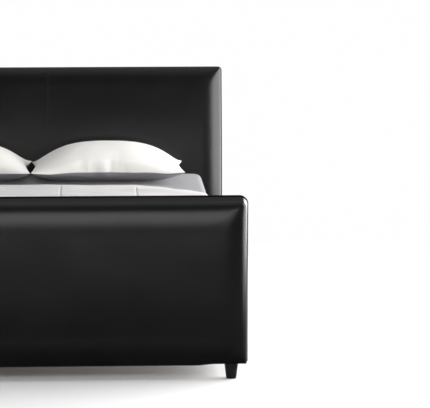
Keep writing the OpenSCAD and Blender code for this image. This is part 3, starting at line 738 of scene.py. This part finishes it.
def swept(name, sections, ys):
    """A solid from matching outlines set along the bed. Its ends are closed."""
    verts, faces = [], []
    count = len(sections[0])
    for section, y in zip(sections, ys):
        verts += [(x, y, z) for x, z in section]
    for i in range(len(ys) - 1):
        for j in range(count):
            a, n = i * count + j, i * count + (j + 1) % count
            faces.append((a, n, n + count, a + count))
    faces.append(tuple(range(count)))
    faces.append(tuple(len(verts) - 1 - j for j in range(count)))
    return mesh_object(name, verts, faces)


def outward(obj):
    """Turns a closed piece's faces outwards."""
    bm = bmesh.new()
    bm.from_mesh(obj.data)
    bmesh.ops.recalc_face_normals(bm, faces=bm.faces)
    bm.to_mesh(obj.data)
    bm.free()
    return obj


RAIL_BUTT = 4 * MM
for side_name, sign in (("left", -1), ("right", 1)):
    low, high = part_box("side_rail_cover_" + side_name)
    core_low, core_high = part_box("side_rail_core_" + side_name)
    inside, outside = (low[0], high[0]) if sign > 0 else (high[0], low[0])
    ys = np.linspace(low[1] - RAIL_BUTT, high[1] + RAIL_BUTT, 61)
    foam_ys = np.linspace(low[1] + 1 * MM, high[1] - 1 * MM, 61)

    def rail_outline(inset, y):
        puff = 1.2 * MM * noise.noise(Vector((sign * 3, y * 2.3, 0))) + 0.8 * MM
        x0, x1 = inside + sign * inset, outside - sign * (inset + 1.2 * MM - puff)
        z0, z1 = low[2] + inset, high[2] - inset
        r = 1 * MM if inset else 2.5 * MM
        corners = [(x0, z0, r), (x1 - sign * 1.5 * MM, z0, max(9 * MM - inset, r)),
                   (x1, (z0 + z1) / 2, 60 * MM),
                   (x1 - sign * 2 * MM, z1 - 1 * MM, 20 * MM - inset), (x0, z1, max(7 * MM - inset, r))]
        return divided(rounded_outline(corners), 30 * MM)

    count = len(rail_outline(0, 0.0))
    verts, faces = [], []
    for y in ys:
        verts += [(x, y, z) for x, z in rail_outline(0, y) + rail_outline(COVER_T, y)]
    for i in range(len(ys) - 1):
        for j in range(count):
            n = (j + 1) % count
            a = i * 2 * count
            faces.append((a + j, a + n, a + n + 2 * count, a + j + 2 * count))
            faces.append((a + count + n, a + count + j, a + count + j + 2 * count, a + count + n + 2 * count))
    for a, turned in ((0, False), ((len(ys) - 1) * 2 * count, True)):
        for j in range(count):
            n = (j + 1) % count
            quad = (a + j, a + count + j, a + count + n, a + n)
            faces.append(quad[::-1] if turned else quad)
    rail_hide = outward(mesh_object("side_rail_leather_" + side_name, verts, faces))
    finish_piece(rail_hide, "bed_frame", "leather", black_leather, "side_rail_cover_" + side_name)

    core_out = core_high[0] if sign > 0 else core_low[0]
    gap = 0.4 * MM

    def foam_outline(y):
        shell = rail_outline(COVER_T + gap, y)
        near = [p for p in shell if sign * (p[0] - core_out) > gap or p[1] > core_high[2] + gap]
        start = next(i for i, p in enumerate(shell) if p not in near)
        return [p for p in shell[start:] + shell[:start] if p in near]

    outline = foam_outline(0.0)
    corner = [(inside + sign * (COVER_T + gap), core_high[2] + gap),
              (core_out + sign * gap, core_high[2] + gap),
              (core_out + sign * gap, low[2] + COVER_T + gap)]
    if math.dist(outline[0], corner[0]) <= math.dist(outline[-1], corner[0]):
        corner = corner[::-1]
    section = outline + corner
    rail_foam = outward(swept("side_rail_padding_" + side_name, [section] * len(foam_ys), foam_ys))
    finish_piece(rail_foam, "bed_frame", "foam", foam, "side_rail_foam_" + side_name)


# ---- Timber, plywood and slats --------------------------------------------
# Planed softwood posts, rails and cores, thin birch panels and varnished
# birch slats. Each keeps its machined shape and gets its own wood.

def build_timber_grain():
    """Growth rings drawn out along one direction, with fine fibres."""
    group, gin, gout = new_group(
        "timber_grain",
        [("Position", "NodeSocketVector", None), ("Rings per Metre", "NodeSocketFloat", 55.0)],
        [("Rings", "NodeSocketFloat"), ("Fibre", "NodeSocketFloat")])
    place = gin.outputs["Position"]
    rings = add_node(group, "ShaderNodeTexWave",
                     {"Vector": place, "Scale": gin.outputs["Rings per Metre"], "Distortion": 3.5, "Detail": 3,
                      "Detail Scale": 1.3}, wave_type="RINGS")
    group.links.new(rings.outputs["Fac"], gout.inputs["Rings"])
    group.links.new(clouds(group, place, 700, 3), gout.inputs["Fibre"])
    return group


timber_grain = build_timber_grain()


def wood_material(name, along, early, late, roughness, rings, coat=0.0):
    """along holds how far the grain is drawn out on each axis."""
    material, tree, shader = principled(name, roughness)
    mapping = add_node(tree, "ShaderNodeMapping",
                       {"Vector": object_coords(tree), "Scale": along, "Location": (0.13, 0.21, 0.34)})
    grain = add_node(tree, "ShaderNodeGroup", node_tree=timber_grain)
    grain.inputs["Rings per Metre"].default_value = rings
    tree.links.new(mapping.outputs[0], grain.inputs["Position"])
    ringed = mix_colour(tree, grain.outputs["Rings"], early, late)
    dark = tuple(c * 0.8 for c in late[:3]) + (1,)
    set_colour(tree, shader, math_node(tree, "MULTIPLY", grain.outputs["Fibre"], 0.35), ringed, dark)
    shader.inputs["Coat Weight"].default_value = coat
    shader.inputs["Coat Roughness"].default_value = 0.25
    add_bump(tree, shader, grain.outputs["Fibre"], 0.25, 0.15 * MM)
    return material


ALONG = {"x": (0.06, 1, 1), "y": (1, 0.06, 1), "z": (1, 1, 0.06)}
SOFT_EARLY, SOFT_LATE = (0.62, 0.44, 0.25, 1), (0.46, 0.28, 0.13, 1)
softwood = {axis: wood_material("softwood_along_" + axis, ALONG[axis], SOFT_EARLY, SOFT_LATE, 0.62, 22)
            for axis in "xyz"}
slat_birch = wood_material("varnished_birch", ALONG["x"], (0.72, 0.55, 0.34, 1), (0.60, 0.42, 0.23, 1),
                           0.42, 18, coat=0.35)
ply_birch = wood_material("birch_plywood", ALONG["z"], (0.66, 0.50, 0.31, 1), (0.55, 0.38, 0.22, 1), 0.6, 5)


def nodes_in(slot_name):
    return [part["node"] for part in frame["record"]["subparts"] if part["material_slot"] == slot_name]


def recolour(material, names):
    """Gives CAD nodes a better material and leaves their shape alone."""
    for name in names:
        mesh = frame["nodes"][name].data
        mesh.materials.clear()
        mesh.materials.append(material)


for name in nodes_in("frame_timber"):
    low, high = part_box(name)
    span = [high[i] - low[i] for i in range(3)]
    axis = "z" if "post" in name or "ribs" in name else "xyz"[span.index(max(span))]
    recolour(softwood[axis], [name])
recolour(ply_birch, nodes_in("plywood"))
recolour(slat_birch, nodes_in("slat_wood"))

# ---- Corner legs ----------------------------------------------------------
# Turned tapered legs in black satin lacquer, each screwed by its threaded
# stud into an insert under the board's corner.


def lacquer_material():
    material, tree, shader = principled("black_satin_lacquer", 0.3)
    brush = clouds(tree, object_coords(tree), 60, 5)
    set_colour(tree, shader, brush, (0.004, 0.004, 0.004, 1), (0.010, 0.0095, 0.009, 1))
    tree.links.new(math_node(tree, "MULTIPLY_ADD", brush, 0.14, 0.24), shader.inputs["Roughness"])
    add_bump(tree, shader, brush, 0.12, 0.4 * MM)
    return material


recolour(lacquer_material(), nodes_in("leg_lacquer"))

# ---- Brackets, hangers, bolts and plastic fittings ------------------------
# Powder-coated steel brackets and support legs, zinc-plated screws and
# bolts, and moulded plastic slat holders, plugs and glides.


def speckled(name, low_colour, high_colour, scale, rough, spread, bump, metal=0.0):
    material, tree, shader = principled(name, rough)
    speck = clouds(tree, object_coords(tree), scale, 4)
    set_colour(tree, shader, speck, low_colour, high_colour)
    tree.links.new(math_node(tree, "MULTIPLY_ADD", speck, spread, rough - spread / 2),
                   shader.inputs["Roughness"])
    shader.inputs["Metallic"].default_value = metal
    add_bump(tree, shader, speck, bump, 0.3 * MM)
    return material


powder_coat = speckled("black_powder_coat", (0.018, 0.018, 0.019, 1), (0.034, 0.034, 0.036, 1),
                       scale=1400, rough=0.5, spread=0.2, bump=0.5)
plastic = speckled("moulded_black_plastic", (0.022, 0.022, 0.023, 1), (0.032, 0.032, 0.033, 1),
                   scale=900, rough=0.55, spread=0.15, bump=0.25)
zinc = speckled("bright_zinc_plate", (0.52, 0.53, 0.55, 1), (0.68, 0.69, 0.70, 1),
                scale=240, rough=0.32, spread=0.2, bump=0.15, metal=1.0)
for material, slot_name in ((powder_coat, "black_steel"), (plastic, "black_plastic"), (zinc, "zinc_steel")):
    recolour(material, nodes_in(slot_name))

# ---- Mattress -------------------------------------------------------------
# A foam mattress in a quilted white knit, with rounded edges round its top
# and its base. It lies loose on the slats.


def round_ring(half_x, half_y, r):
    """Points round a rectangle with rounded corners, the same count each time."""
    side_steps, arc_steps = 26, 10
    points = []
    corners = ((1, 1), (-1, 1), (-1, -1), (1, -1))
    for k, (cx, cy) in enumerate(corners):
        for a in np.radians(90 * k + np.linspace(0, 90, arc_steps + 1)):
            points.append((cx * (half_x - r) + r * math.cos(a), cy * (half_y - r) + r * math.sin(a)))
        last = points[-1]
        nx, ny = corners[(k + 1) % 4]
        a = math.radians(90 * (k + 1))
        goal = (nx * (half_x - r) + r * math.cos(a), ny * (half_y - r) + r * math.sin(a))
        points += [(last[0] + (goal[0] - last[0]) * f, last[1] + (goal[1] - last[1]) * f)
                   for f in np.arange(1, side_steps) / side_steps]
    return np.array(points)


def block_rings(centre, half_x, half_y, r, levels):
    """Rings for (inset, height) pairs, round the plan of a block."""
    rings = []
    for inset, z in levels:
        hx, hy = half_x - inset, half_y - inset
        plan = round_ring(hx, hy, max(r - inset, 0.3 * min(hx, hy) if inset > r else 12 * MM))
        rings.append(np.column_stack([plan[:, 0] + centre[0], plan[:, 1] + centre[1], np.full(len(plan), z)]))
    return rings


def ring_faces(rows, count, offset=0, flip=False):
    faces = []
    for i in range(rows - 1):
        for j in range(count):
            a, n = offset + i * count + j, offset + i * count + (j + 1) % count
            quad = (a, n, n + count, a + count)
            faces.append(quad[::-1] if flip else quad)
    return faces


m_low, m_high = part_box("mattress")
m_centre = ((m_low[0] + m_high[0]) / 2, (m_low[1] + m_high[1]) / 2)
m_half = ((m_high[0] - m_low[0]) / 2, (m_high[1] - m_low[1]) / 2)
MATTRESS_R = 60 * MM


def mattress_levels(low, high, grow=0.0, edge=30 * MM, sag=2.0 * MM):
    """Side profile from the middle of the base to the middle of the top."""
    reach = m_half[0] - 4 * MM
    flat_steps, turns = 12, np.linspace(0, math.pi / 2, 9)
    levels = [(reach - (reach - edge) * k / flat_steps, low - grow) for k in range(flat_steps)]
    levels += [(edge - edge * math.sin(a) - grow, low - grow + edge - edge * math.cos(a)) for a in turns]
    levels += [(sag * math.sin(math.pi * f) ** 0.7 - grow, low + edge + (high - low - 2 * edge) * f)
               for f in np.arange(1, 10) / 10]
    levels += [(edge - edge * math.cos(a) - grow, high + grow - edge + edge * math.sin(a)) for a in turns]
    levels += [(edge + (reach - edge) * k / flat_steps, high + grow) for k in range(1, flat_steps + 1)]
    return levels


def knit_material(name, base, shade, per_metre, depth):
    """Quilted knit or plain weave, from crossed waves in object space."""
    material, tree, shader = principled(name, 0.85)
    place = object_coords(tree)
    sockets = {"Vector": place, "Scale": per_metre / 3.2, "Distortion": 0.6}
    threads = [add_node(tree, "ShaderNodeTexWave", sockets, bands_direction=axis).outputs["Fac"]
               for axis in "XYZ"]
    total = math_node(tree, "ADD", math_node(tree, "ADD", threads[0], threads[1]), threads[2])
    weave = math_node(tree, "MULTIPLY", total, 1 / 3)
    cloudy = math_node(tree, "MULTIPLY", clouds(tree, place, 7, 5), 0.5)
    set_colour(tree, shader, math_node(tree, "MULTIPLY_ADD", weave, 0.5, cloudy), shade, base)
    shader.inputs["Sheen Weight"].default_value = 0.25
    shader.inputs["Sheen Roughness"].default_value = 0.4
    soft = add_bump(tree, shader, clouds(tree, place, 16, 5), 0.35, 4 * MM)
    add_bump(tree, shader, weave, 0.35, depth, under=soft)
    return material


ticking = knit_material("white_quilted_knit", (0.86, 0.86, 0.84, 1), (0.74, 0.74, 0.73, 1), 60, 1.5 * MM)
rings = block_rings(m_centre, *m_half, MATTRESS_R, mattress_levels(m_low[2], m_high[2]))
count = len(rings[0])
verts = np.concatenate(rings)
faces = ring_faces(len(rings), count) + [tuple(range(count))[::-1],
                                         tuple(range((len(rings) - 1) * count, len(rings) * count))]
mattress_pad = outward(mesh_object("mattress_quilted_block", verts, faces))
finish_piece(mattress_pad, "mattress", "ticking", ticking, "mattress")

# ---- Fitted sheet ---------------------------------------------------------
# Grey cotton stretched over the mattress and tucked under its base by an
# elastic hem.

SHEET_T = 1.5 * MM
sheet_cotton = knit_material("grey_percale", (0.245, 0.242, 0.262, 1), (0.205, 0.202, 0.222, 1), 1500,
                             0.15 * MM)


def sheet_rings(grow):
    """The mattress profile from the hem under its base to the top."""
    levels = mattress_levels(m_low[2], m_high[2], grow=grow, edge=32 * MM, sag=1.5 * MM)[11:]
    levels[0] = (levels[0][0], m_low[2] - grow * 0.2)
    rings = block_rings(m_centre, *m_half, MATTRESS_R, levels)
    for ring in rings:
        mid_z = (m_low[2] + m_high[2]) / 2
        side = np.clip(1 - np.abs(ring[:, 2] - mid_z) / (m_high[2] - m_low[2]) * 2, 0, 1)
        for i, p in enumerate(ring):
            pull = noise.noise(Vector((p[0] * 9, p[1] * 9, p[2] * 2.2))) * 1.6 * MM * side[i]
            away = Vector((p[0] - m_centre[0], p[1] - m_centre[1], 0)).normalized()
            ring[i, 0] += away[0] * pull
            ring[i, 1] += away[1] * pull
    return rings


outer = sheet_rings(SHEET_T + 0.4 * MM)
inner = sheet_rings(0.4 * MM)
rows = len(outer)
verts = np.concatenate(outer + inner)
faces = ring_faces(rows, count) + [tuple(range((rows - 1) * count, rows * count))]
faces += ring_faces(rows, count, rows * count, True)
faces += [tuple(range((2 * rows - 1) * count, 2 * rows * count))[::-1]]
for j in range(count):
    n = (j + 1) % count
    faces.append((j, rows * count + j, rows * count + n, n))
sheet = outward(mesh_object("fitted_sheet_cotton", verts, faces))
finish_piece(sheet, "mattress", "sheet_cotton", sheet_cotton, "fitted_sheet")

# ---- Duvet ----------------------------------------------------------------
# A light quilt laid over the foot two thirds of the mattress. Its sides hang
# into the gaps beside the mattress, and its far right corner is pulled back.

duvet_cotton = knit_material("pale_grey_sateen", (0.72, 0.695, 0.70, 1), (0.62, 0.595, 0.60, 1), 1700,
                             0.12 * MM)
d_low, d_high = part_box("duvet")
DUVET_T = 24 * MM
SIDE_T = 11 * MM
ROLL = 34 * MM
DROP = 128 * MM
TOP_Z = m_high[2] + SHEET_T + 1.2 * MM
QUILT_SEAMS = ((0.062, 0.25), (0.42, 0.3), (-0.30, 0.2), (-0.62, 0.3))


def smooth_step(f):
    f = np.clip(f, 0, 1)
    return f * f * (3 - 2 * f)


def far_edge(x):
    """How far up the bed the duvet reaches, with its right corner pulled back."""
    right = np.clip((x - 0.40) / 0.38, 0, 1.2)
    left = np.clip((-x - 0.52) / 0.26, 0, 1.2)
    return d_high[1] - 0.36 * right ** 1.5 - 0.10 * left ** 1.7


def duvet_surface(depth_share):
    """One face of the duvet: its underside at 0 and its top at 1."""
    edge_x = m_half[0] + SHEET_T + 2.6 * MM
    flat_half = edge_x - ROLL
    arc = ROLL * math.pi / 2
    total = flat_half + arc + DROP - ROLL
    beside = np.array([-9, -5, -2.5, 0, 2.5, 5, 9]) * MM
    us = np.unique(np.concatenate([np.linspace(-total, total, 171)] + [at + beside for at, _ in QUILT_SEAMS]))
    vs = np.linspace(0, 1, 111)
    grid = np.zeros((len(vs), len(us), 3))
    for j, u in enumerate(us):
        side = 1 if u >= 0 else -1
        run = abs(u)
        for i, v in enumerate(vs):
            hang = np.clip((run - flat_half - arc) / (total - flat_half - arc), 0, 1)
            at_x = side * min(run, flat_half + arc * 0.64)
            y = d_low[1] + 4 * MM + (far_edge(at_x) - d_low[1] - 8 * MM) * v
            ridge = noise.noise(Vector((u * 4.2, y * 1.3, 3.0)))
            ridge += 0.5 * noise.noise(Vector((u * 9, y * 2.4, 8.0)))
            edge = min(v, 1 - v) * 1.9
            taper = smooth_step(edge / 0.022) * 0.6 + 0.4
            taper *= 0.58 + 0.42 * smooth_step((1 - v) / 0.16)
            thick = (DUVET_T + 5 * MM * ridge) * taper
            fold = noise.noise(Vector((u * 1.5 + y * 1.8, y * 7.5 - u * 1.3, 5.0)))
            fold += 0.45 * noise.noise(Vector((u * 3.4 - y * 2.0, y * 15 + u * 2.5, 9.0)))
            thick += 10 * MM * fold * taper
            for seam_at, seam_from in QUILT_SEAMS:
                pressed = 0.14 * smooth_step((v - seam_from) / 0.1) * smooth_step((0.93 - v) / 0.06)
                thick *= 1 - pressed * math.exp(-((u - seam_at) / (4 * MM)) ** 2)
            side_thick = SIDE_T * (1 - 0.35 * hang)
            if run < flat_half:
                lift = thick * depth_share
                x, z = u, TOP_Z + lift
            elif run < flat_half + arc:
                a = (run - flat_half) / ROLL
                t = thick + (side_thick - thick) * smooth_step((run - flat_half) / arc)
                x = side * (flat_half + (ROLL + t * depth_share) * math.sin(a))
                z = TOP_Z - ROLL + (ROLL + t * depth_share) * math.cos(a)
            else:
                down = run - flat_half - arc
                wave = noise.noise(Vector((y * 6, side * 4.0, down * 2))) * 5 * MM * hang
                flare = 6 * MM * hang ** 1.4 * (0.6 + 0.4 * math.sin(y * 5))
                x = side * (edge_x + max(flare + wave, 0.5 * MM) * 0.9 + side_thick * depth_share)
                z = TOP_Z - ROLL - down + 10 * MM * noise.noise(Vector((y * 2.2, side * 7.0, 1.0))) * hang
            grid[i, j] = (x, y, z)
    return grid


duvet = outward(between("duvet_quilt", duvet_surface(1.0), duvet_surface(0.0), False))
finish_piece(duvet, "duvet", "duvet_cotton", duvet_cotton, "duvet")

# ---- Pillows --------------------------------------------------------------
# Two filled pillows in cotton cases, ivory above and grey below, with a
# sewn edge. The grey below is partly the case's second colour and partly
# painted shade. Each case is cut flat and swells as it is filled.


def pillow_cotton_material():
    """Ivory on the upper face and a darker bluish grey under it, from a face attribute. The grey is partly the
    case's own second colour and partly painted shade on the underside.
    """
    material = knit_material("two_tone_pillow_cotton_with_painted_underside_shade", (0.90, 0.88, 0.845, 1), (0.85, 0.83, 0.795, 1), 1600,
                             0.12 * MM)
    tree = material.node_tree
    shader = tree.nodes["Principled BSDF"]
    upper = shader.inputs["Base Color"].links[0].from_socket
    side = add_node(tree, "ShaderNodeAttribute", attribute_name="upper_face")
    # The underside colour is partly the case's grey cloth and partly painted shade under the pillow.
    set_colour(tree, shader, side.outputs["Fac"], (0.22, 0.21, 0.24, 1), upper)
    return material


pillow_cotton = pillow_cotton_material()
FILLING_FRAMES = 24


def pillow_case(name, centre, size, seed):
    """Two layers joined round the edge, blown up as cloth and then seated."""
    nx, ny = 56, 38
    width, depth, height = size
    half_x, half_y = width / 2, depth / 2
    rng = np.random.default_rng(seed)
    verts, index, layers = [], {}, []
    for layer in (1, -1):
        for i in range(ny + 1):
            for j in range(nx + 1):
                u, v = 2 * j / nx - 1, 2 * i / ny - 1
                rim = i in (0, ny) or j in (0, nx)
                if rim and layer < 0:
                    index[layer, i, j] = index[1, i, j]
                    continue
                x = half_x * u * (1 - 0.03 * (1 - abs(v) ** 2) * abs(u) ** 3)
                y = half_y * v * (1 - 0.05 * (1 - abs(u) ** 2) * abs(v) ** 3)
                bulge = ((1 - u ** 4) * (1 - v ** 4)) ** 0.5
                z = layer * (2 * MM + 0.62 * height / 2 * bulge)
                if rim:
                    z = 0
                index[layer, i, j] = len(verts)
                layers.append(0 if rim else layer)
                verts.append((x, y, z + rng.normal(0, 0.3 * MM)))
    faces, upper = [], []
    for layer in (1, -1):
        for i in range(ny):
            for j in range(nx):
                quad = tuple(index[layer, i + di, j + dj] for di, dj in ((0, 0), (0, 1), (1, 1), (1, 0)))
                faces.append(quad if layer > 0 else quad[::-1])
                upper.append(layer > 0)
    case = mesh_object(name, verts, faces)
    cloth = case.modifiers.new("filling", "CLOTH")
    for label, value in (("quality", 6), ("mass", 0.25), ("use_pressure", True),
                         ("uniform_pressure_force", 3.2), ("tension_stiffness", 18),
                         ("compression_stiffness", 18), ("bending_stiffness", 0.4)):
        setattr(cloth.settings, label, value)
    cloth.settings.effector_weights.gravity = 0
    cloth.collision_settings.use_collision = False
    cloth.point_cache.frame_start = 1
    cloth.point_cache.frame_end = FILLING_FRAMES
    for f in range(1, FILLING_FRAMES + 1):
        scene.frame_set(f)
    shown = case.evaluated_get(bpy.context.evaluated_depsgraph_get())
    co = np.empty(len(case.data.vertices) * 3)
    shown.to_mesh().vertices.foreach_get("co", co)
    shown.to_mesh_clear()
    case.modifiers.remove(cloth)
    case.data.vertices.foreach_set("co", co)
    scene.frame_set(1)
    co = np.empty(len(case.data.vertices) * 3)
    case.data.vertices.foreach_get("co", co)
    co = co.reshape(-1, 3)
    low, high = co.min(0), co.max(0)
    co[:, :2] = (co[:, :2] - (low + high)[:2] / 2) / (high - low)[:2] * np.array([width, depth])
    co[:, :2] = 0.35 * co[:, :2] + 0.65 * np.array(verts)[:, :2]
    u, v = co[:, 0] / half_x, co[:, 1] / half_y
    seam = height * (0.29 + 0.05 * np.abs(u) ** 3)
    ripple = np.array([noise.noise(Vector((p[0] * 9, p[1] * 9, seed * 3.1))) for p in co]) * 6 * MM
    near_edge = np.clip((np.maximum(np.abs(u), np.abs(v)) - 0.6) / 0.4, 0, 1)
    layers = np.array(layers)
    domed = np.clip(1 - np.abs(u) ** 3.5, 0, 1) ** 1.4 * np.clip(1 - np.abs(v) ** 3, 0, 1)
    above = 0.18 * np.clip(co[:, 2] / high[2], 0, 1) + 0.82 * domed
    lifted = np.maximum.reduce([np.clip((-v - 0.15) / 0.85, 0, 1) ** 1.15,
                                np.clip((np.abs(u) - 0.6) / 0.4, 0, 1) ** 1.5,
                                np.clip((v - 0.75) / 0.25, 0, 1) ** 1.5])
    co[:, 2] = np.where(layers < 0, seam * lifted, seam) + np.where(layers > 0, above * (height - seam), 0)
    co[:, 2] += ripple * near_edge * lifted
    co[:, 2] = np.maximum(co[:, 2], 1 * MM)
    co += np.array(centre)
    case.data.vertices.foreach_set("co", co.ravel())
    # The upper faces are marked so that the material can paint shade on the underside, over the case's second
    # colour.
    tone = case.data.attributes.new("upper_face", "FLOAT", "FACE")
    tone.data.foreach_set("value", [1.0 if f else 0.0 for f in upper])
    smoother = case.modifiers.new("smoother", "SUBSURF")
    smoother.levels = smoother.render_levels = 1
    return case


for side_name, seed in (("left", 7), ("right", 3)):
    low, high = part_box("pillow_" + side_name)
    place = ((low[0] + high[0]) / 2, (low[1] + high[1]) / 2, m_high[2] + SHEET_T + 1.0 * MM)
    size = (high[0] - low[0] + 14 * MM, high[1] - low[1] + 10 * MM, high[2] - place[2] - 6 * MM)
    pillow = pillow_case("pillow_cotton_case_" + side_name, place, size, seed)
    finish_piece(pillow, "pillow_" + side_name, "pillow_cotton", pillow_cotton, "pillow_" + side_name)

# ---- Sizes ----------------------------------------------------------------
# The box round the CAD solids and the box round the finished pieces, kept
# side by side in one dictionary.

size = {"cad": [list(v) for v in cad_box], "visual": [list(v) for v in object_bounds()]}
